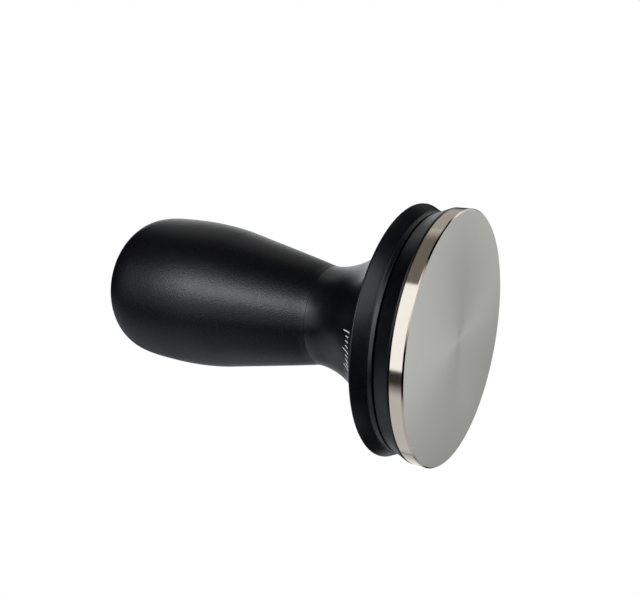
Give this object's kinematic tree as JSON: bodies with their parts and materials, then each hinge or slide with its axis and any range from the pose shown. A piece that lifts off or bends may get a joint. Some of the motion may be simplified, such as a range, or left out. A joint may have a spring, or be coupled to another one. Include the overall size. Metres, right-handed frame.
{
  "type": "espresso tamper",
  "caption": "Espresso tamper with a polished steel foot, a black flanged neck and a long flared black handle that slides on a sprung guide post.",
  "frame": {"origin": "centre of the flat tamping face, on the axis", "axes": "+Z along the axis from the tamping face up the handle; the tamper is round, so X and Y are free"},
  "size_m": [0.059, 0.059, 0.0968],
  "materials": {
    "polished_steel": "polished rim, face turned to a fine satin",
    "satin_black": "satin black anodised",
    "powder_black": "matte black powder coat with a fine grain",
    "machined_steel": "machined",
    "spring_steel": "drawn spring wire",
    "bronze": "sintered bearing bronze",
    "black_rubber": "moulded",
    "white_nylon": "moulded"
  },
  "bodies": {
    "base": {"base_plate": "polished_steel", "base_carrier": "satin_black", "plate_screw_1": "machined_steel", "plate_screw_2": "machined_steel", "plate_screw_3": "machined_steel", "closing_bumper": "black_rubber", "guide_post": "machined_steel", "stop_washer": "machined_steel", "stop_nut": "machined_steel", "nut_lock_insert": "white_nylon"},
    "spring_stack": {"thrust_washer": "white_nylon", "lower_spring_seat": "machined_steel", "main_spring": "spring_steel"},
    "handle": {"neck_bell": "satin_black", "wiper_ring": "black_rubber", "lower_bush": "bronze", "upper_bush": "bronze", "return_bumper": "black_rubber", "thread_o_ring": "black_rubber", "handle_shell": "powder_black", "preload_shim_1": "machined_steel", "preload_shim_2": "machined_steel", "upper_spring_seat": "machined_steel"}
  },
  "joints": [
    {"name": "handle_spin", "type": "hinge", "parent": "base", "child": "spring_stack", "pos_m": [0, 0, 0], "axis": [0, 0, 1], "continuous": true},
    {"name": "handle_press", "type": "slide", "parent": "spring_stack", "child": "handle", "axis": [0, 0, -1], "range_m": [0, 0.00045], "stiffness_N_per_m": 10400, "springref_m": -0.0008, "deforming": ["main_spring"]}
  ]
}
